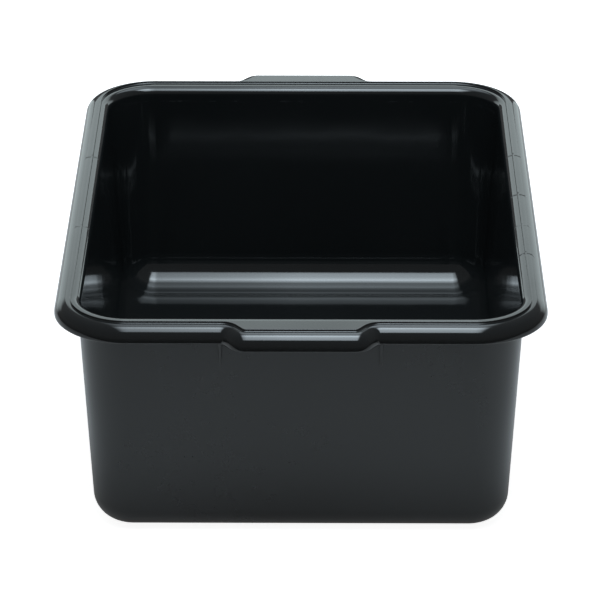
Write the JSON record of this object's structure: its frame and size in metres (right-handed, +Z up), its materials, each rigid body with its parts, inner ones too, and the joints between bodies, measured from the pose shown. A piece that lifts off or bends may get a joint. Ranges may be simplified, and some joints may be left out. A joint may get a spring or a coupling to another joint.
{
  "type": "mixing tub",
  "caption": "Deep rectangular moulded plastic tub with drafted walls, a rolled downturned rim with a recessed lid seat, and hand grips where the rim steps out at the ends.",
  "frame": {"origin": "centre of the foot ring, on the surface the tub stands on", "axes": "+X across the tub's width, +Y along its length towards one hand grip, +Z up out of its open top"},
  "size_m": [0.37, 0.5332, 0.188],
  "materials": {
    "plastic": "glossy inside and on the rim, satin outside"
  },
  "bodies": {
    "root": {"tub": "plastic"}
  },
  "joints": []
}
